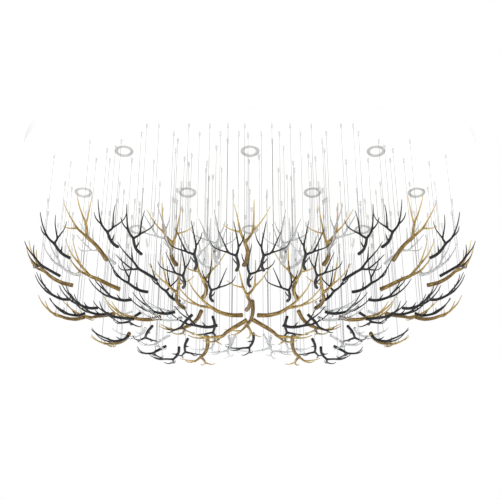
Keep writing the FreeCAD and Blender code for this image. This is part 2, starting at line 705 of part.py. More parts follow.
washer, washer_top = EARTH_WASHER[0] / 2, EARTH_WASHER[1]
core, core_top = EARTH_STUD[0] / 2, EARTH_STUD[1]
stud = turned([(0, 0), (washer, 0), (washer, washer_top), (core, washer_top),
               (core, core_top), (0, core_top)])
stud = stud.fuse(hexagon(0, 0, washer_top, NUT_FLATS, NUT_HEIGHT, 0.9 * core)).removeSplitter().Solids[0]
stud.rotate(V(0, 0, 0), V(0, 1, 0), 90)
save("earth_stud", [moved(stud, face_x, EARTH_Y, -RAIL_HEIGHT / 2)])

save("mounting_frame", [frame.cut(Part.makeCompound(drills)).removeSplitter().Solids[0]])

# screws through the canopy's long sides into the frame
head = COVER_HEAD / 2
shank = COVER_SCREW / 2
head_edge = COVER_HEAD_HEIGHT - COVER_HEAD_CROWN
screw = turned([(0, 0), (head, 0), (0.8 * head, head_edge), (0, COVER_HEAD_HEIGHT)])
screw = screw.fuse(turned([(0, 0), (shank, 0), (shank, -COVER_SCREW_LENGTH), (0, -COVER_SCREW_LENGTH)]))
screw = screw.removeSplitter()
cover_screws = []
for x in COVER_SCREW_PLACES:
    for side in (-1, 1):
        copy = screw.copy()
        copy.rotate(V(0, 0, 0), V(1, 0, 0), -90 * side)
        cover_screws.append(moved(copy, x, side * CANOPY_WIDTH / 2, cover_z).Solids[0])
save("canopy_screws", cover_screws)

# one downlight about its own axis, repeated at each place
sleeve_out = SLEEVE_DIAMETER / 2
sleeve_in = sleeve_out - SLEEVE_WALL
sleeve_top = underside + SLEEVE_HEIGHT
trim_in = TRIM_OPENING / 2
trim_out = TRIM_DIAMETER / 2
trim_face = underside - TRIM_HEIGHT
trim = turned([(trim_in, trim_face + TRIM_LIP[1]), (trim_in + TRIM_LIP[0], trim_face),
               (trim_out - TRIM_EDGE[0], trim_face), (trim_out, underside - TRIM_EDGE[1]),
               (trim_out, underside), (sleeve_out, underside), (sleeve_out, sleeve_top),
               (sleeve_in, sleeve_top), (sleeve_in, underside), (trim_in, underside)])
lens_radius = sleeve_in - LENS_CLEARANCE / 2
lens_top = underside + LENS_THICKNESS
lens = turned([(0, underside), (lens_radius, underside), (lens_radius, lens_top), (0, lens_top)])
cup = LED_DIAMETER / 2 + LED_MARGIN
reflector = turned([(lens_radius - REFLECTOR_WALL, lens_top), (lens_radius, lens_top),
                    (cup + REFLECTOR_WALL, sleeve_top), (cup, sleeve_top)])
led = turned([(0, sleeve_top - LED_THICKNESS), (LED_DIAMETER / 2, sleeve_top - LED_THICKNESS),
              (LED_DIAMETER / 2, sleeve_top), (0, sleeve_top)])
sink_top = sleeve_top + SINK_BASE
sink = turned([(0, sleeve_top), (sink_radius, sleeve_top), (sink_radius, sink_top), (0, sink_top)])
fins = []
for i in range(FIN_COUNT):
    x = (i - (FIN_COUNT - 1) / 2) * FIN_PITCH
    reach = math.sqrt((sink_radius - FIN_INSET) ** 2 - (abs(x) + FIN_THICKNESS / 2) ** 2)
    fins.append(box(x - FIN_THICKNESS / 2, x + FIN_THICKNESS / 2, -reach, reach, sink_top, -SINK_TOP_GAP))
sink = sink.multiFuse(fins).removeSplitter()
shelf = sink_radius - CLIP_SHELF
knee = sink_radius + CLIP_KNEE
foot = sink_radius + CLIP_REACH
t = CLIP_THICKNESS
profile = [(shelf, sink_top), (knee, sink_top), (foot, floor_top), (foot + CLIP_FOOT, floor_top),
           (foot + CLIP_FOOT, floor_top + t), (foot + 0.6 * t, floor_top + t), (knee + 0.6 * t, sink_top + t),
           (shelf, sink_top + t)]
points = [V(x, -CLIP_WIDTH / 2, z) for x, z in profile]
clip = Part.Face(Part.makePolygon(points + [points[0]])).extrude(V(0, CLIP_WIDTH, 0))
other_clip = clip.copy()
other_clip.rotate(V(0, 0, 0), V(0, 0, 1), 180)
save("downlight_trims", [moved(trim, x, y) for x, y in lamps])
save("downlight_lenses", [moved(lens, x, y) for x, y in lamps])
save("downlight_reflectors", [moved(reflector, x, y) for x, y in lamps])
save("led_modules", [moved(led, x, y) for x, y in lamps])
save("downlight_heat_sinks", [moved(sink, x, y).cut(lead_bores[(x, y)]).Solids[0] for x, y in lamps])
save("downlight_clips", [moved(c, x, y) for x, y in lamps for c in (clip, other_clip)])

# each wire's anchor: a barrel that holds the ball, a stud through the tray and a nut on top
barrel_radius = BARREL_DIAMETER / 2
barrel_bottom = underside - BARREL_LENGTH
seat = BALL_DIAMETER / 2 + ball_room
mouth = BARREL_MOUTH / 2
stud_radius = STUD_DIAMETER / 2
bore_bottom = underside - STUD_GRIP
lip = ball_z - math.sqrt(seat ** 2 - mouth ** 2)
slant = math.radians(-25)
cup_arc = Part.Arc(V(mouth, 0, lip), V(seat * math.cos(slant), 0, ball_z + seat * math.sin(slant)),
                   V(seat, 0, ball_z)).toShape()
outline = [V(seat, 0, ball_z), V(seat, 0, bore_bottom), V(stud_radius, 0, bore_bottom),
           V(stud_radius, 0, underside), V(barrel_radius, 0, underside),
           V(barrel_radius, 0, barrel_bottom + BARREL_CHAMFER),
           V(barrel_radius - BARREL_CHAMFER, 0, barrel_bottom), V(mouth, 0, barrel_bottom), V(mouth, 0, lip)]
edges = [cup_arc] + [Part.makeLine(a, b) for a, b in zip(outline, outline[1:])]
barrel = Part.Face(Part.Wire(edges)).revolve(V(0, 0, 0), V(0, 0, 1), 360)
stud = Part.makeCylinder(stud_radius, STUD_GRIP + CANOPY_FLOOR + STUD_ABOVE, V(0, 0, bore_bottom))
nut = hexagon(0, 0, floor_top, NUT_FLATS, NUT_HEIGHT, stud_radius)
save("anchor_barrels", [moved(barrel, x, y) for x, y in anchors])
save("anchor_studs", [moved(stud, x, y) for x, y in anchors])
save("anchor_nuts", [moved(nut, x, y) for x, y in anchors])
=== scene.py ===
import itertools
import json
import math
import bmesh
import bpy
import numpy as np
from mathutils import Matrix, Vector, noise
from mathutils.kdtree import KDTree


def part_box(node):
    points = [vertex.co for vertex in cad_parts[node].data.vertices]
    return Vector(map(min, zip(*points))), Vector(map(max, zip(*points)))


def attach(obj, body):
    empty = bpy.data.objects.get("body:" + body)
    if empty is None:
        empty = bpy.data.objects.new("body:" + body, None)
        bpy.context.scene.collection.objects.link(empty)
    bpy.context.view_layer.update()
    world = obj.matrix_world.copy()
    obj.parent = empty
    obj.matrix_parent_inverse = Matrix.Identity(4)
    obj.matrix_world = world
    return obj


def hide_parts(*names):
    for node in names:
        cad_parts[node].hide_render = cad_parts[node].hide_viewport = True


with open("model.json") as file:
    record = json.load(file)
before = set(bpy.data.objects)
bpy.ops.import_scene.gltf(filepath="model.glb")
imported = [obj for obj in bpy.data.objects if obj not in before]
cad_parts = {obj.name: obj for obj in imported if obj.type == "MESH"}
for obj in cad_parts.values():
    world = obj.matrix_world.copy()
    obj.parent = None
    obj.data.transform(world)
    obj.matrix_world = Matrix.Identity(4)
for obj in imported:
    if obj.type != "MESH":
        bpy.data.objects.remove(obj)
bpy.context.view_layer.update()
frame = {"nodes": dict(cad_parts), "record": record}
nodes = frame["nodes"]
record = frame["record"]
bodyOf = {node: body for body, members in record["behaviour"]["bodies"].items() for node in members}
slotOf = {part["node"]: part["material_slot"] for part in record["subparts"]}
mm = 0.001


# shader maths reads as plain sums: a Flow is one output socket
class Flow:
    def __init__(self, finish, socket):
        self.finish = finish
        self.socket = socket

    def math(self, operation, first, second):
        return self.finish.node("ShaderNodeMath", {"operation": operation}, {0: first, 1: second})

    def __add__(self, other):
        return self.math("ADD", self, other)

    def __radd__(self, other):
        return self.math("ADD", other, self)

    def __sub__(self, other):
        return self.math("SUBTRACT", self, other)

    def __rsub__(self, other):
        return self.math("SUBTRACT", other, self)

    def __mul__(self, other):
        return self.math("MULTIPLY", self, other)

    def __rmul__(self, other):
        return self.math("MULTIPLY", other, self)

    def larger(self, other):
        return self.math("MAXIMUM", self, other)


# the nodes of one material, or of the world: node() adds any node, the rest are those used most
class Finish:
    def __init__(self, name, shelf=bpy.data.materials, end="ShaderNodeOutputMaterial"):
        self.holder = shelf.new(name)
        self.holder.use_nodes = True
        self.tree = self.holder.node_tree
        self.tree.nodes.clear()
        self.end = end

    def node(self, kind, settings=None, sockets=None, output=0):
        made = self.tree.nodes.new(kind)
        for key, value in (settings or {}).items():
            setattr(made, key, value)
        for key, value in (sockets or {}).items():
            if isinstance(value, Flow):
                self.tree.links.new(value.socket, made.inputs[key])
            else:
                made.inputs[key].default_value = value
        return Flow(self, made.outputs[output]) if made.outputs else None

    def place(self):  # the piece's own coordinates, in metres
        return self.node("ShaderNodeTexCoord", output="Object")

    def stretched(self, vector, stretch):
        return self.node("ShaderNodeVectorMath", {"operation": "MULTIPLY"}, {0: vector, 1: stretch})

    def cloud(self, vector, scale, detail=3.0, rough=0.55):
        return self.node("ShaderNodeTexNoise", None,
                         {"Vector": vector, "Scale": scale, "Detail": detail, "Roughness": rough})

    def wave(self, look):  # fine bands across the piece's height
        return self.node("ShaderNodeTexWave", {"bands_direction": "Z"},
                         {"Vector": self.place(), "Scale": look["bands"], "Distortion": look["bandWander"],
                          "Detail": look["bandDetail"]})

    def between(self, value, low, high):  # 0 below low, 1 above high
        return self.node("ShaderNodeMapRange", {"interpolation_type": "SMOOTHSTEP"},
                         {"Value": value, "From Min": low, "From Max": high})

    def shade(self, share, first, second):
        first, second = ((*c, 1.0) if isinstance(c, tuple) else c for c in (first, second))
        return self.node("ShaderNodeMix", {"data_type": "RGBA"}, {0: share, 6: first, 7: second}, 2)

    def bump(self, height, depth, strength):
        return self.node("ShaderNodeBump", None, {"Height": height, "Distance": depth, "Strength": strength})

    def show(self, shader):
        self.node(self.end, None, {"Surface": shader})
        return self.holder

    def coat(self, sockets):
        return self.show(self.node("ShaderNodeBsdfPrincipled", None, sockets))


# antlers: streaks, fine and ripples are clouds drawn out along the limb

blackLook = {"dark": (0.004, 0.004, 0.005), "worn": (0.020, 0.020, 0.022), "shine": 0.22,
             "streaks": {"along": 30.0, "around": 1.6, "scale": 2.2, "detail": 5.0, "rough": 0.6},
             "fine": {"along": 160.0, "around": 5.0, "scale": 3.0, "detail": 3.0, "rough": 0.55},
             "wear": (0.52, 0.72), "wearStreaks": 0.7,
             "rough": 0.34, "roughFine": 0.16, "roughWear": 0.10,
             "grain": 0.6 * mm, "grainStreaks": 0.6, "grainStrength": 0.7}
# gold: shadow is a painted shade tone and bright a painted highlight tone, both laid in streaks by clouds
# along the limb
goldLook = {"shadow": (0.020, 0.011, 0.003), "gold": (0.185, 0.116, 0.027), "paintedHighlight": (0.54, 0.375, 0.125),
            "butt": (0.070, 0.036, 0.008), "buttRadius": (6.0 * mm, 9.5 * mm), "buttShare": 0.55,
            "tip": (0.60, 0.45, 0.17), "tipRadius": (2.0 * mm, 5.5 * mm), "tipShare": 0.6,
            "streaks": {"along": 22.0, "around": 1.3, "scale": 2.0, "detail": 5.0, "rough": 0.6},
            "fine": {"along": 150.0, "around": 5.0, "scale": 3.0, "detail": 3.0, "rough": 0.55},
            "rubbedAndHighlight": (0.46, 0.66), "paintedShadeMix": (0.36, 0.54), "paintedShadeStreaks": 0.5,
            "metal": 0.35, "metalRubbed": 0.4, "shine": 0.3,
            "rough": 0.32, "roughPaintedShade": 0.22, "roughFine": 0.06,
            "grain": 0.6 * mm, "grainStreaks": 0.6, "grainStrength": 0.7}
glassLook = {"clear": (0.70, 0.71, 0.71), "smoky": (0.46, 0.475, 0.48), "index": 1.22,
             "ripples": {"along": 40.0, "around": 1.4, "scale": 1.6, "detail": 2.0, "rough": 0.55},
             "rippleDepth": 0.8 * mm, "rippleStrength": 0.5,
             "seeds": (0.70, 0.76), "seedScale": 900.0, "seedDetail": 1.0,
             "rough": 0.03, "roughSeeds": 0.05}


def limbCloud(finish, grain):
    # limbPlace runs with the limb: x along it, y and z round it
    limb = finish.node("ShaderNodeAttribute", {"attribute_name": "limbPlace"}, output="Vector")
    drawn = finish.stretched(limb, (grain["along"], grain["around"], grain["around"]))
    return finish.cloud(drawn, grain["scale"], grain["detail"], grain["rough"])


def blended(first, second, share):
    return first * share + second * (1.0 - share)


def limbBump(finish, look, streaks, fine):
    grain = blended(streaks, fine, look["grainStreaks"])
    return finish.bump(grain, look["grain"], look["grainStrength"])


def blackLacquer():
    look = blackLook
    finish = Finish("blackLacquer")
    streaks = limbCloud(finish, look["streaks"])
    fine = limbCloud(finish, look["fine"])
    wear = finish.between(blended(streaks, fine, look["wearStreaks"]), *look["wear"])
    return finish.coat({
        "Base Color": finish.shade(wear, look["dark"], look["worn"]), "Specular IOR Level": look["shine"],
        "Roughness": look["rough"] + look["roughFine"] * fine - look["roughWear"] * wear,
        "Normal": limbBump(finish, look, streaks, fine)})


def goldLacquer():
    look = goldLook
    finish = Finish("goldLacquer")
    streaks = limbCloud(finish, look["streaks"])
    fine = limbCloud(finish, look["fine"])
    # painted highlight: along the brightest streaks the gold takes the bright tone, and there the lacquer is
    # also rubbed and more metallic
    rubbedAndHighlight = finish.between(streaks, *look["rubbedAndHighlight"])
    # painted shade: where the streak clouds run low, the gold takes the shadow tone and grows rougher
    paintedShadeMix = finish.between(blended(streaks, fine, look["paintedShadeStreaks"]), *look["paintedShadeMix"])
    radius = finish.node("ShaderNodeAttribute", {"attribute_name": "limbRadius"}, output="Fac")
    thick = finish.between(radius, *look["buttRadius"])
    thin = 1.0 - finish.between(radius, *look["tipRadius"])
    body = finish.shade(paintedShadeMix, look["shadow"], look["gold"])
    body = finish.shade(rubbedAndHighlight, body, look["paintedHighlight"])
    body = finish.shade(look["buttShare"] * thick, body, look["butt"])
    return finish.coat({
        "Base Color": finish.shade(look["tipShare"] * thin, body, look["tip"]),
        "Metallic": look["metal"] + look["metalRubbed"] * rubbedAndHighlight, "Specular IOR Level": look["shine"],
        "Roughness": look["rough"] + look["roughPaintedShade"] * (1.0 - paintedShadeMix) + look["roughFine"] * fine,
        "Normal": limbBump(finish, look, streaks, fine)})


def clearGlass():
    look = glassLook
    finish = Finish("clearGlass")
    ripples = limbCloud(finish, look["ripples"])
    seeds = finish.cloud(finish.place(), look["seedScale"], look["seedDetail"])
    return finish.coat({
        "Base Color": finish.shade(ripples, look["clear"], look["smoky"]),
        "Roughness": look["rough"] + look["roughSeeds"] * finish.between(seeds, *look["seeds"]),
        "IOR": look["index"], "Transmission Weight": 1.0,
        "Normal": finish.bump(ripples, look["rippleDepth"], look["rippleStrength"])})


# limb points in millimetres: out from the butt, across, up, and radius
slenderLimbs = {
    "beam": ((0, 1, 4, 7.2), (35, -7, -4, 7.0), (70, -6, -6, 6.6), (105, 0, -4, 6.0), (128, -6, 0, 5.1),
             (150, -9, 6, 4.4), (185, -4, 20, 3.4), (218, 3, 39, 2.6), (248, 10, 64, 1.6)),
    "brow": ((105, 0, -4, 5.5), (112, 16, -2, 5.0), (120, 33, 1, 4.4), (148, 47, 13, 3.5),
             (178, 61, 30, 2.6), (205, 78, 54, 1.6)),
    "outer": ((120, 33, 1, 4.0), (128, 60, 4, 3.4), (138, 90, 12, 2.7), (148, 106, 24, 2.1),
              (158, 114, 40, 1.5)),
    "inner": ((150, -9, 6, 4.0), (164, -20, 13, 3.3), (179, -30, 28, 2.5), (192, -36, 50, 1.6)),
    "spur": ((52, -6, -5, 4.2), (63, 7, 0, 3.0), (76, 17, 10, 1.5)),
}
broadLimbs = {
    "beam": ((0, 6, 4, 9.8), (45, -6, -5, 9.6), (90, -11, -8, 9.0), (125, -8, -7, 8.4), (155, 0, -4, 7.5),
             (186, -18, 1, 6.0), (215, -32, 8, 5.1), (256, -36, 26, 3.8), (295, -37, 52, 2.9),
             (330, -38, 86, 1.7)),
    "brow": ((155, 0, -4, 6.6), (182, 10, 0, 5.7), (211, 20, 7, 4.9), (247, 28, 26, 3.7),
             (281, 37, 50, 2.7), (310, 48, 80, 1.6)),
    "outer": ((211, 20, 7, 4.4), (216, 46, 10, 3.5), (224, 74, 18, 2.6), (234, 96, 32, 1.6)),
    "inner": ((215, -32, 8, 4.4), (240, -58, 22, 3.4), (270, -84, 44, 2.4), (300, -108, 76, 1.5)),
}
# lump, ridge and burr are shares of the limb's radius
antlerLooks = {
    "black": {"limbs": slenderLimbs, "lump": 0.05, "ridge": 0.09, "burr": 0.10, "coat": blackLacquer},
    "gold": {"limbs": broadLimbs, "lump": 0.05, "ridge": 0.10, "burr": 0.10, "coat": goldLacquer},
    "clear": {"limbs": slenderLimbs, "lump": 0.05, "ridge": 0.02, "burr": 0.06, "coat": clearGlass},
}
# all lengths here in millimetres; limbApart and antlerApart keep the grain of limbs and antlers different
antlerMesh = {"voxel": 0.9, "sides": 18, "step": 5.0, "triangles": 4400,
              "forkBlend": 1.2, "buttSharpest": 40.0, "tipLength": 5.0, "tipClear": 6.5, "tipRadius": 0.75,
              "slopeReach": 0.05, "leastSlope": 0.1, "skinStep": 1.5, "skinRounds": 4,
              "ridgeLength": 55, "ridgeTurn": 1.7, "lumpLength": 14, "lumpTurn": 0.8, "lumpShift": 9,
              "burrReach": 16.0, "limbApart": 400, "antlerApart": 3000, "fitPoints": 200, "fitRounds": 8}
weldDigits = 6  # of a metre


def unit(rows):
    return rows / np.maximum(np.linalg.norm(rows, axis=1), 1e-6)[:, None]


def smoothLine(points):
    # a curve through the points, and a neck that closes the tip
    line = []
    last = len(points) - 1
    for i in range(last):
        a, b, c, d = (np.array(points[min(max(k, 0), last)], float) for k in (i - 1, i, i + 1, i + 2))
        count = math.ceil(np.linalg.norm(c[:3] - b[:3]) / antlerMesh["step"])
        for t in np.arange(count) / count:
            line.append(0.5 * (2 * b + (c - a) * t + (2 * a - 5 * b + 4 * c - d) * t ** 2
                               + (3 * b - a - 3 * c + d) * t ** 3))
    end = np.array(points[-1], float)
    back = line[-1] - end
    neck = end + back * antlerMesh["tipLength"] / np.linalg.norm(back[:3])
    neck[3] = end[3]
    end[3] = antlerMesh["tipRadius"]
    while np.linalg.norm(line[-1][:3] - end[:3]) < antlerMesh["tipClear"]:
        line.pop()
    return np.array(line + [neck, end])


def limbOf(points):
    # centre line, distance along it, and two side directions that never twist
    line = smoothLine(points)
    ahead = unit(np.gradient(line[:, :3], axis=0))
    side = np.array((0.0, 0.0, 1.0))
    sides = []
    for direction in ahead:
        side = side - direction * side.dot(direction)
        side /= np.linalg.norm(side)
        sides.append(side)
    sides = np.array(sides)
    run = np.concatenate(([0.0], np.cumsum(np.linalg.norm(np.diff(line[:, :3], axis=0), axis=1))))
    return {"line": line, "ahead": ahead, "sides": sides, "others": np.cross(ahead, sides), "run": run}


def limbTube(limb):
    angles = np.linspace(0, 2 * math.pi, antlerMesh["sides"], endpoint=False)[None, :, None]
    rings = np.cos(angles) * limb["sides"][:, None] + np.sin(angles) * limb["others"][:, None]
    return limb["line"][:, None, :3] + limb["line"][:, None, 3:] * rings


def nearestOn(limb, points):
    # gap to the limb's skin, and which stretch of the limb is nearest
    start = limb["line"][:-1]
    step = np.diff(limb["line"], axis=0)
    away = points[:, None] - start[None, :, :3]
    share = np.clip((away * step[:, :3]).sum(2) / (step[:, :3] ** 2).sum(1), 0, 1)
    near = start[None] + share[..., None] * step[None]
    gaps = np.linalg.norm(points[:, None] - near[..., :3], axis=2) - near[..., 3]
    best = gaps.argmin(1)
    rows = np.arange(len(points))
    return gaps[rows, best], best, share[rows, best], near[rows, best]


def antlerField(limbs, points):
    # distance to the skin of all limbs joined softly, with the butt cut off square
    soft = antlerMesh["forkBlend"]
    gaps = np.array([nearestOn(limb, points)[0] for limb in limbs])
    skin = -soft * np.log(np.exp(-gaps / soft).sum(0))
    beam = limbs[0]
    cut = -(points - beam["line"][0, :3]) @ beam["ahead"][0]
    sharpest = antlerMesh["buttSharpest"]
    return soft * np.log(np.exp(skin / soft) + np.exp(np.clip(cut / soft, -sharpest, sharpest)))


def fieldSlope(limbs, points):
    reach = antlerMesh["slopeReach"]
    here = antlerField(limbs, points)
    slope = [(antlerField(limbs, points + step) - here) / reach for step in np.eye(3) * reach]
    return here, np.stack(slope, 1)


def onSkin(limbs, points):
    most = antlerMesh["skinStep"]
    for _ in range(antlerMesh["skinRounds"]):
        here, slope = fieldSlope(limbs, points)
        move = here / np.maximum((slope ** 2).sum(1), antlerMesh["leastSlope"])
        points = points - np.clip(move, -most, most)[:, None] * slope
    return points


def joinedMesh(limbs):
    # the limbs as overlapping tubes, joined by voxels and thinned to the wanted count
    built = bmesh.new()
    for limb in limbs:
        rings = [[built.verts.new(p) for p in ring] for ring in limbTube(limb)]
        for ring, after in zip(rings, rings[1:]):
            for k in range(len(ring)):
                n = (k + 1) % len(ring)
                built.faces.new((ring[k], ring[n], after[n], after[k]))
        built.faces.new(reversed(rings[0]))
        built.faces.new(rings[-1])
    mesh = bpy.data.meshes.new("antlerTubes")
    built.to_mesh(mesh)
    built.free()
    holder = bpy.data.objects.new("antlerTubes", mesh)
    bpy.context.scene.collection.objects.link(holder)
    voxels = holder.modifiers.new("join", "REMESH")
    voxels.mode = "VOXEL"
    voxels.voxel_size = antlerMesh["voxel"]
    count = len(holder.evaluated_get(bpy.context.evaluated_depsgraph_get()).data.polygons) * 2
    thin = holder.modifiers.new("thin", "DECIMATE")
    thin.ratio = antlerMesh["triangles"] / count
    done = bpy.data.meshes.new_from_object(holder.evaluated_get(bpy.context.evaluated_depsgraph_get()))
    done.calc_loop_triangles()
    points = np.array([v.co for v in done.vertices])
    triangles = np.array([t.vertices for t in done.loop_triangles])
    bpy.data.objects.remove(holder)
    bpy.data.meshes.remove(mesh)
    bpy.data.meshes.remove(done)
    return points, triangles


def limbPlaces(limbs, points):
    # per point: distance along its limb, the two directions round it, and the limb's radius
    found = [nearestOn(limb, points) for limb in limbs]
    owner = np.array([f[0] for f in found]).argmin(0)
    places = np.zeros((len(points), 3))
    radii = np.zeros(len(points))
    for i, limb in enumerate(limbs):
        mine = owner == i
        _, best, share, near = (values[mine] for values in found[i])
        out = unit(points[mine] - near[:, :3])
        along = limb["run"][best] + share * np.diff(limb["run"])[best]
        places[mine] = np.stack((along + antlerMesh["limbApart"] * i, (out * limb["sides"][best]).sum(1),
                                 (out * limb["others"][best]).sum(1)), 1)
        radii[mine] = near[:, 3]
    return places, radii


def antlerRelief(look, places, radii):
    # long ridges, soft lumps and a thicker burr at the butt, in millimetres
    relief = []
    ridgeTurn = antlerMesh["ridgeTurn"]
    lumpTurn = antlerMesh["lumpTurn"]
    for (along, side, other), radius in zip(places, radii):
        ridge = noise.noise(Vector((along / antlerMesh["ridgeLength"], side * ridgeTurn, other * ridgeTurn)))
        lump = noise.noise(Vector((along / antlerMesh["lumpLength"],
                                   side * lumpTurn + antlerMesh["lumpShift"], other * lumpTurn)))
        burr = math.exp(-(along / antlerMesh["burrReach"]) ** 2)
        relief.append(radius * (look["ridge"] * ridge + look["lump"] * lump + look["burr"] * burr))
    return np.array(relief)


def balanceOf(points, triangles):
    # middle of the volume and its main axes
    a, b, c = (points[triangles[:, k]] for k in range(3))
    volume = np.einsum("ij,ij->i", a, np.cross(b, c)) / 6
    whole = volume.sum()
    middle = ((a + b + c) * volume[:, None]).sum(0) / 4 / whole
    spread = sum(np.einsum("i,ij,ik->jk", volume, p, p) for p in (a, b, c, a + b + c)) / 20 / whole
    axes = np.linalg.eigh(spread - np.outer(middle, middle))[1]
    return middle, axes


def antlerPattern(look):
    limbs = [limbOf(points) for points in look["limbs"].values()]
    points, triangles = joinedMesh(limbs)
    points = onSkin(limbs, points)
    plainMiddle, plainAxes = balanceOf(points, triangles)
    places, radii = limbPlaces(limbs, points)
    outward = unit(fieldSlope(limbs, points)[1])
    plain = (points - plainMiddle) * mm
    tree = KDTree(len(plain))
    for i, p in enumerate(plain):
        tree.insert(p, i)
    tree.balance()
    shaped = points + outward * antlerRelief(look, places, radii)[:, None]
    return {"points": (shaped - plainMiddle) * mm, "plain": plain, "triangles": triangles, "axes": plainAxes,
            "tree": tree, "places": places * np.array((mm, 1, 1)), "radii": radii * mm}


def solidsOf(node):
    # the separate solids of one node: points and triangles of each
    mesh = nodes[node].data
    mesh.calc_loop_triangles()
    raw = np.empty(len(mesh.vertices) * 3, np.float32)
    mesh.vertices.foreach_get("co", raw)
    corners = np.empty(len(mesh.loop_triangles) * 3, np.int32)
    mesh.loop_triangles.foreach_get("vertices", corners)
    welded, home = np.unique(np.round(raw.reshape(-1, 3), weldDigits), axis=0, return_inverse=True)
    triangles = home.ravel()[corners].reshape(-1, 3)
    group = np.arange(len(welded))
    while True:
        lowest = group[triangles].min(1)
        spread = group.copy()
        for k in range(3):
            np.minimum.at(spread, triangles[:, k], lowest)
        spread = spread[spread]
        if (spread == group).all():
            break
        group = spread
    solids = []
    for mark in np.unique(group[triangles[:, 0]]):
        own = triangles[group[triangles[:, 0]] == mark]
        used, local = np.unique(own, return_inverse=True)
        solids.append((welded[used].astype(float), local.reshape(-1, 3)))
    return solids


def layOver(points, triangles, pattern):
    # turns, and where needed mirrors, the pattern onto a modelled antler; then a few nearest-point steps
    middle, axes = balanceOf(points, triangles)
    sample = points[::max(1, len(points) // antlerMesh["fitPoints"])]

    def misfit(turn):
        return sum(pattern["tree"].find(p)[2] for p in (sample - middle) @ turn) / len(sample)

    choices = [axes * np.array(signs) @ pattern["axes"].T for signs in itertools.product((1, -1), repeat=3)]
    turn = min(choices, key=misfit)
    for _ in range(antlerMesh["fitRounds"]):
        local = (sample - middle) @ turn
        goal = np.array([pattern["plain"][pattern["tree"].find(p)[1]] for p in local])
        u, _, v = np.linalg.svd((goal - goal.mean(0)).T @ (local - local.mean(0)))
        step = u @ np.diag((1, 1, np.linalg.det(u @ v))) @ v
        middle = middle + turn @ (local - goal).mean(0)
        turn = turn @ step.T
    return turn, middle, misfit(turn)


def makePiece(name, points, faces, coat, body, replaced):
    mesh = bpy.data.meshes.new(name)
    mesh.from_pydata(points, [], faces)
    mesh.validate()
    mesh.materials.append(coat)
    mesh.polygons.foreach_set("use_smooth", [True] * len(mesh.polygons))
    piece = bpy.data.objects.new(name, mesh)
    bpy.context.scene.collection.objects.link(piece)
    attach(piece, body)
    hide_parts(replaced)
    return piece


def hangAntlers(colour):
    look = antlerLooks[colour]
    pattern = antlerPattern(look)
    coat = look["coat"]()
    worst = 0.0
    count = 0
    for node in sorted(n for n in nodes if n.endswith("_" + colour + "_antlers")):
        points = []
        faces = []
        places = []
        for solidPoints, solidTriangles in solidsOf(node):
            turn, middle, misfit = layOver(solidPoints, solidTriangles, pattern)
            worst = max(worst, misfit)
            turnedOver = np.linalg.det(turn) < 0
            triangles = pattern["triangles"][:, ::-1] if turnedOver else pattern["triangles"]
            faces.extend((triangles + len(points)).tolist())
            points.extend((pattern["points"] @ turn.T + middle).tolist())
            places.append(pattern["places"] + np.array((antlerMesh["antlerApart"] * mm * count, 0, 0)))
            count += 1
        piece = makePiece(node + "_shaped", points, faces, coat, bodyOf[node], node)
        grain = piece.data.attributes.new("limbPlace", "FLOAT_VECTOR", "POINT")
        grain.data.foreach_set("vector", np.concatenate(places).astype(np.float32).ravel())
        girth = piece.data.attributes.new("limbRadius", "FLOAT", "POINT")
        girth.data.foreach_set("value", np.tile(pattern["radii"], len(places)).astype(np.float32))
    print(colour, "antlers hung:", count, "worst misfit %.2f mm" % (worst / mm))


for colour in antlerLooks:
    hangAntlers(colour)


# pieces turned on an axis: a profile of (radius, height), repeated at each place

def turnedRepeats(profile, sides, places):
    points = []
    faces = []
    angles = np.linspace(0, 2 * math.pi, sides, endpoint=False)
    for x, y, z in places:
        rings = []
        for radius, height in profile:
            if radius == 0:
                rings.append([len(points)] * sides)
                points.append((x, y, z + height))
            else:
                rings.append(list(range(len(points), len(points) + sides)))
                points.extend((x + radius * math.cos(a), y + radius * math.sin(a), z + height)
                              for a in angles)
        for ring, after in zip(rings, rings[1:]):
            for k in range(sides):
                n = (k + 1) % sides
                face = (ring[k], ring[n], after[n], after[k])
                faces.append(tuple(dict.fromkeys(face)))
    return points, faces


def turnedSteel(name, look):
    finish = Finish(name)
    smear = finish.cloud(finish.place(), look["smear"])
    return finish.coat({
        "Base Color": finish.shade(smear, look["first"], look["second"]),
        "Metallic": look["metal"], "Roughness": look["rough"] + look["roughSmear"] * smear,
        "Normal": finish.bump(finish.wave(look), look["bandDepth"], look["bandStrength"])})


# wires: ball, plain wire and crimped ferrule in one

wireLook = {"radius": 0.75 * mm, "sides": 12, "ball": 2.3 * mm, "ballTurns": (145, 120, 90, 65, 35),
            "ferrule": 1.5 * mm, "ferruleLength": 9.0 * mm, "intoLimb": 2.5 * mm, "footShare": 0.6,
            "lip": 0.3 * mm, "lipHeight": 0.4 * mm,
            "crimp": 0.22 * mm, "crimps": (0.62, 0.30), "crimpReach": 1.1 * mm, "crimpFlat": 0.4 * mm,
            "first": (0.13, 0.13, 0.135), "second": (0.06, 0.06, 0.065), "smear": 60.0, "metal": 0.4,
            "rough": 0.36, "roughSmear": 0.15, "bands": 260.0, "bandWander": 1.5, "bandDetail": 1.0,
            "bandDepth": 0.1 * mm, "bandStrength": 0.6}


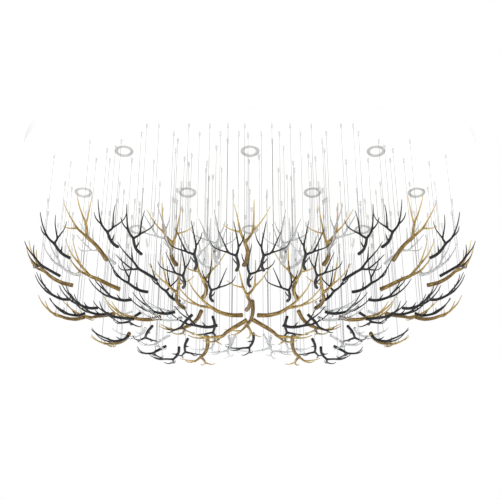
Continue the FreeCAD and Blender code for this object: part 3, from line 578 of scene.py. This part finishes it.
def wireProfile(length):
    # from the ferrule's foot up to the ball, heights measured from the ball's middle
    ball = wireLook["ball"]
    thin = wireLook["radius"]
    thick = wireLook["ferrule"]
    neck = thick - wireLook["crimp"]
    foot = -length - wireLook["intoLimb"]
    top = -length + wireLook["ferruleLength"]
    reach = wireLook["crimpReach"]
    flat = wireLook["crimpFlat"]
    profile = [(0, foot), (thick * wireLook["footShare"], foot), (thick, -length)]
    for share in wireLook["crimps"]:
        mid = top - wireLook["ferruleLength"] * share
        profile += [(thick, mid - reach), (neck, mid - flat), (neck, mid + flat), (thick, mid + reach)]
    profile += [(thick, top - wireLook["lipHeight"]), (thick - wireLook["lip"], top), (thin, top),
                (thin, -length / 2), (thin, -ball)]
    for turn in wireLook["ballTurns"]:
        profile.append((ball * math.sin(math.radians(turn)), ball * math.cos(math.radians(turn))))
    return profile + [(0, ball)]


def hangWires():
    coat = turnedSteel("wireSteel", wireLook)
    anchors = []
    for node in sorted(n for n in nodes if n.endswith("_wires")):
        points = []
        faces = []
        for own, _ in solidsOf(node):
            low = own.min(0)
            high = own.max(0)
            x, y = (low[:2] + high[:2]) / 2
            ballZ = high[2] - wireLook["ball"]
            profile = wireProfile(ballZ - low[2])
            newPoints, newFaces = turnedRepeats(profile, wireLook["sides"], [(x, y, ballZ)])
            faces.extend(tuple(i + len(points) for i in face) for face in newFaces)
            points.extend(newPoints)
            anchors.append((x, y))
        makePiece(node + "_drawn", points, faces, coat, bodyOf[node], node)
    print("wires hung:", len(anchors))
    return anchors


anchors = hangWires()


# anchor barrels under the canopy

barrelLook = {"radius": 4.5 * mm, "sides": 24,
              "edge": 0.6 * mm, "footInner": 0.3 * mm, "footOuter": 0.96 * mm,
              "mouth": 1.5 * mm, "mouthDepth": 1.5 * mm, "mouthEdge": 0.3 * mm,
              "groove": 0.35 * mm, "grooveWidth": 0.8 * mm, "grooveHeight": 0.68,
              "first": (0.54, 0.54, 0.55), "second": (0.66, 0.66, 0.67), "smear": 140.0, "metal": 0.4,
              "rough": 0.32, "roughSmear": 0.15, "bands": 900.0, "bandWander": 0.6, "bandDetail": 2.0,
              "bandDepth": 0.06 * mm, "bandStrength": 0.5}


def setBarrels():
    low, high = (corner.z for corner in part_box("anchor_barrels"))
    radius = barrelLook["radius"]
    mouth = barrelLook["mouth"]
    lip = barrelLook["mouthEdge"]
    edge = barrelLook["edge"]
    inner = barrelLook["footInner"]
    outer = barrelLook["footOuter"]
    waist = radius - barrelLook["groove"]
    band = low + (high - low) * barrelLook["grooveHeight"]
    half = barrelLook["grooveWidth"] / 2
    profile = [(mouth, low + barrelLook["mouthDepth"]), (mouth, low + lip), (mouth + lip, low),
               (radius - outer, low), (radius - inner, low + inner), (radius, low + outer),
               (radius, band - half), (waist, band - half / 2), (waist, band + half / 2),
               (radius, band + half), (radius, high - edge), (radius - edge, high)]
    points, faces = turnedRepeats(profile, barrelLook["sides"], [(x, y, 0) for x, y in anchors])
    makePiece("anchor_barrels_turned", points, faces, turnedSteel("anchorSteel", barrelLook), "canopy",
              "anchor_barrels")
    print("barrels set:", len(anchors))


setBarrels()


# downlights: trim rings and lenses

trimLook = {"opening": 30.0 * mm, "outer": 45.0 * mm, "sleeve": 38.0 * mm, "sleeveWall": 3.0 * mm,
            "bevel": 3.0 * mm, "rim": 1.0 * mm, "rimSlope": 2.4 * mm, "edge": 0.8 * mm, "sides": 96,
            "first": (0.40, 0.40, 0.395), "second": (0.52, 0.52, 0.51), "smear": 45.0, "metal": 0.5,
            "rough": 0.34, "roughBrush": 0.16, "brush": 700.0, "brushStretch": (1.0, 1.0, 12.0),
            "brushDepth": 0.05 * mm, "brushStrength": 0.4}
lensLook = {"room": 0.3 * mm, "edge": 0.4 * mm, "sides": 96,
            "first": (0.90, 0.90, 0.885), "second": (0.96, 0.96, 0.95), "milk": 60.0, "milkDetail": 2.0,
            "rough": 0.30, "roughPrisms": 0.12, "index": 1.49,
            "prisms": 420.0, "prismDepth": 0.4 * mm, "prismStrength": 0.35}


def trimMetal():
    look = trimLook
    finish = Finish("trimMetal")
    brushing = finish.cloud(finish.stretched(finish.place(), look["brushStretch"]), look["brush"])
    smear = finish.cloud(finish.place(), look["smear"])
    return finish.coat({
        "Base Color": finish.shade(smear, look["first"], look["second"]),
        "Metallic": look["metal"], "Roughness": look["rough"] + look["roughBrush"] * brushing,
        "Normal": finish.bump(brushing, look["brushDepth"], look["brushStrength"])})


def lensGlass():
    look = lensLook
    finish = Finish("lensGlass")
    prisms = finish.node("ShaderNodeTexVoronoi", {"feature": "SMOOTH_F1"},
                         {"Vector": finish.place(), "Scale": look["prisms"]})
    milk = finish.cloud(finish.place(), look["milk"], look["milkDetail"])
    return finish.coat({
        "Base Color": finish.shade(milk, look["first"], look["second"]),
        "Roughness": look["rough"] + look["roughPrisms"] * prisms, "IOR": look["index"],
        "Normal": finish.bump(prisms, look["prismDepth"], look["prismStrength"])})


def softened(profile, edge, steps=3, longest=0.45):
    # the closed profile with each corner rounded, over less than half of either side
    rounded = []
    for i in range(len(profile)):
        here, before, after = (np.array(profile[k % len(profile)]) for k in (i, i - 1, i + 1))
        ends = []
        for p in (before, after):
            side = np.linalg.norm(p - here)
            ends.append(here + (p - here) / side * min(edge, side * longest))
        for t in np.linspace(0, 1, steps):
            rounded.append(tuple((1 - t) ** 2 * ends[0] + 2 * t * (1 - t) * here + t ** 2 * ends[1]))
    return rounded + rounded[:1]


def setTrims():
    low, high = (corner.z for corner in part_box("downlight_trims"))
    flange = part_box("canopy_pan")[0].z
    opening = trimLook["opening"]
    outer = trimLook["outer"]
    sleeve = trimLook["sleeve"]
    sleeveIn = sleeve - trimLook["sleeveWall"]
    bevel = trimLook["bevel"]
    ring = [(sleeveIn, flange), (sleeveIn, high), (sleeve, high), (sleeve, flange), (outer, flange),
            (outer, flange - trimLook["rim"]), (outer - trimLook["rimSlope"], low), (opening + bevel, low),
            (opening, low + bevel / 2), (opening, flange)]
    middles = [(own.min(0) + own.max(0)) / 2 for own, _ in solidsOf("downlight_trims")]
    places = [(x, y, 0) for x, y, _ in middles]
    points, faces = turnedRepeats(softened(ring, trimLook["edge"]), trimLook["sides"], places)
    makePiece("downlight_trims_turned", points, faces, trimMetal(), "canopy",
              "downlight_trims")
    low, high = (corner.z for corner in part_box("downlight_lenses"))
    radius = sleeveIn - lensLook["room"]
    edge = lensLook["edge"]
    disc = [(0, low), (radius / 2, low), (radius - edge, low), (radius, low + edge), (radius, high - edge),
            (radius - edge, high), (0, high)]
    points, faces = turnedRepeats(disc, lensLook["sides"], places)
    makePiece("downlight_lenses_moulded", points, faces, lensGlass(), "canopy",
              "downlight_lenses")
    print("downlights set:", len(places))


setTrims()


# pieces that keep their modelled shape: two tones and the size of their cloud, metal, roughness, grain

plainLooks = {
    "white_canopy": {"first": (0.925, 0.925, 0.92), "second": (0.95, 0.95, 0.945), "cloud": 5.0,
                     "metal": 0.0, "rough": 0.52, "grain": 1100.0, "depth": 0.06 * mm},
    "white_screw": {"first": (0.86, 0.86, 0.855), "second": (0.91, 0.91, 0.905), "cloud": 90.0,
                    "metal": 0.0, "rough": 0.40, "grain": 1500.0, "depth": 0.04 * mm},
    "frame_steel": {"first": (0.24, 0.245, 0.25), "second": (0.34, 0.345, 0.35), "cloud": 12.0,
                    "metal": 0.2, "rough": 0.45, "grain": 600.0, "depth": 0.1 * mm},
    "zinc_steel": {"first": (0.42, 0.43, 0.44), "second": (0.62, 0.63, 0.64), "cloud": 160.0,
                   "metal": 0.9, "rough": 0.30, "grain": 1500.0, "depth": 0.04 * mm},
    "reflector_metal": {"first": (0.80, 0.80, 0.80), "second": (0.90, 0.90, 0.90), "cloud": 40.0,
                        "metal": 0.95, "rough": 0.14, "grain": 900.0, "depth": 0.03 * mm},
    "led_board": {"first": (0.75, 0.68, 0.30), "second": (0.90, 0.86, 0.55), "cloud": 220.0,
                  "metal": 0.0, "rough": 0.50, "grain": 1200.0, "depth": 0.1 * mm},
    "sink_metal": {"first": (0.045, 0.047, 0.050), "second": (0.085, 0.088, 0.092), "cloud": 60.0,
                   "metal": 0.6, "rough": 0.42, "grain": 1500.0, "depth": 0.05 * mm},
    "spring_steel": {"first": (0.36, 0.36, 0.37), "second": (0.55, 0.55, 0.56), "cloud": 120.0,
                     "metal": 0.9, "rough": 0.30, "grain": 1200.0, "depth": 0.04 * mm},
    "lead_jacket": {"first": (0.74, 0.74, 0.72), "second": (0.84, 0.84, 0.82), "cloud": 50.0,
                    "metal": 0.0, "rough": 0.60, "grain": 1800.0, "depth": 0.06 * mm},
    "driver_case": {"first": (0.70, 0.70, 0.69), "second": (0.80, 0.80, 0.79), "cloud": 20.0,
                    "metal": 0.0, "rough": 0.50, "grain": 1400.0, "depth": 0.1 * mm},
    "terminal_plastic": {"first": (0.66, 0.65, 0.60), "second": (0.78, 0.77, 0.72), "cloud": 60.0,
                         "metal": 0.0, "rough": 0.45, "grain": 1600.0, "depth": 0.08 * mm},
    "clamp_plastic": {"first": (0.014, 0.014, 0.014), "second": (0.035, 0.035, 0.035), "cloud": 90.0,
                      "metal": 0.0, "rough": 0.50, "grain": 1600.0, "depth": 0.08 * mm},
    "earth_brass": {"first": (0.45, 0.30, 0.09), "second": (0.66, 0.48, 0.18), "cloud": 150.0,
                    "metal": 0.95, "rough": 0.28, "grain": 1500.0, "depth": 0.04 * mm},
}


plainWear = {"toneDetail": 4.0, "grainDetail": 2.0, "roughGrain": 0.14, "roughTone": 0.10,
             "grainStrength": 0.6}


def plainFinish(slot):
    look = plainLooks[slot]
    finish = Finish(slot)
    tone = finish.cloud(finish.place(), look["cloud"], plainWear["toneDetail"])
    grain = finish.cloud(finish.place(), look["grain"], plainWear["grainDetail"])
    unevenness = plainWear["roughGrain"] * (grain - 0.5) + plainWear["roughTone"] * (tone - 0.5)
    return finish.coat({
        "Base Color": finish.shade(tone, look["first"], look["second"]), "Metallic": look["metal"],
        "Roughness": look["rough"] + unevenness,
        "Normal": finish.bump(grain, look["depth"], plainWear["grainStrength"])})


coats = {slot: plainFinish(slot) for slot in plainLooks}
for node, holder in nodes.items():
    if slotOf[node] in coats:
        holder.data.materials.clear()
        holder.data.materials.append(coats[slotOf[node]])
print("finishes given:", len(coats))


# stage: white all round for the camera, soft light for the object

stageLook = {"floorDrop": 3.9, "floorSize": 30.0, "cloud": 3.0, "cloudDetail": 4.0,
             "floor": (0.86, 0.86, 0.85), "floorWorn": (0.88, 0.88, 0.87),
             "white": (1.0, 1.0, 1.0, 1.0), "glow": 0.85, "world": 0.46}
# the fitted camera: metres, degrees up, and the focal length in pixels of a 500 pixel wide picture
cameraLook = {"place": (0.0, -4.469, -3.084), "pitch": 31.0, "focalPixels": 1068.0, "photoSide": 500.0,
              "sensor": 36.0, "farthest": 100.0}
lampLooks = {
    "frontLamp": {"place": (-2.2, -5.0, -1.2), "aim": (0.0, 0.0, -0.4), "size": 2.4, "watts": 165.0},
    "sideLamp": {"place": (3.9, -2.8, -1.0), "aim": (0.0, 0.0, -0.4), "size": 2.0, "watts": 85.0},
    "backLamp": {"place": (-1.5, 4.2, -1.2), "aim": (0.0, 0.0, -0.5), "size": 3.0, "watts": 50.0},
    "upLamp": {"place": (0.0, 0.5, -3.7), "aim": (0.0, 0.5, 0.0), "size": 4.5, "watts": 120.0},
}


def seenRays(finish):
    # 1 where the camera, a reflection or a see-through piece looks
    camera, glossy, through = (finish.node("ShaderNodeLightPath", output="Is %s Ray" % ray)
                               for ray in ("Camera", "Glossy", "Transmission"))
    return camera.larger(glossy).larger(through)


def paleFloor():
    finish = Finish("paleFloor")
    cloud = finish.cloud(finish.place(), stageLook["cloud"], stageLook["cloudDetail"])
    soft = finish.node("ShaderNodeBsdfDiffuse", None,
                       {"Color": finish.shade(cloud, stageLook["floor"], stageLook["floorWorn"])})
    glow = finish.node("ShaderNodeEmission", None, {"Color": stageLook["white"], "Strength": 1.0})
    share = stageLook["glow"] * seenRays(finish)
    return finish.show(finish.node("ShaderNodeMixShader", None, {0: share, 1: soft, 2: glow}))


def studioWorld():
    finish = Finish("studio", bpy.data.worlds, "ShaderNodeOutputWorld")
    level = stageLook["world"] + (1.0 - stageLook["world"]) * seenRays(finish)
    return finish.show(finish.node("ShaderNodeBackground", None,
                                   {"Color": stageLook["white"], "Strength": level}))


def setStage():
    scene = bpy.context.scene
    scene.view_settings.view_transform = "Standard"
    scene.world = studioWorld()
    half = stageLook["floorSize"] / 2
    corners = [(-half, -half, 0), (half, -half, 0), (half, half, 0), (-half, half, 0)]
    mesh = bpy.data.meshes.new("floor")
    mesh.from_pydata(corners, [], [(0, 1, 2, 3)])
    mesh.materials.append(paleFloor())
    floor = bpy.data.objects.new("floor", mesh)
    floor.location.z = -stageLook["floorDrop"]
    scene.collection.objects.link(floor)
    for name, look in lampLooks.items():
        lamp = bpy.data.lights.new(name, "AREA")
        lamp.size = look["size"]
        lamp.energy = look["watts"]
        holder = bpy.data.objects.new(name, lamp)
        holder.location = look["place"]
        toward = Vector(look["aim"]) - holder.location
        holder.rotation_euler = toward.to_track_quat("-Z", "Y").to_euler()
        scene.collection.objects.link(holder)
    camera = bpy.data.objects.new("photoCamera", bpy.data.cameras.new("photoCamera"))
    camera.data.sensor_width = cameraLook["sensor"]
    camera.data.lens = cameraLook["sensor"] * cameraLook["focalPixels"] / cameraLook["photoSide"]
    camera.location = cameraLook["place"]
    camera.rotation_euler = (math.radians(90.0 + cameraLook["pitch"]), 0, 0)
    camera.data.clip_end = cameraLook["farthest"]
    scene.collection.objects.link(camera)
    scene.camera = camera
    print("stage set")


setStage()
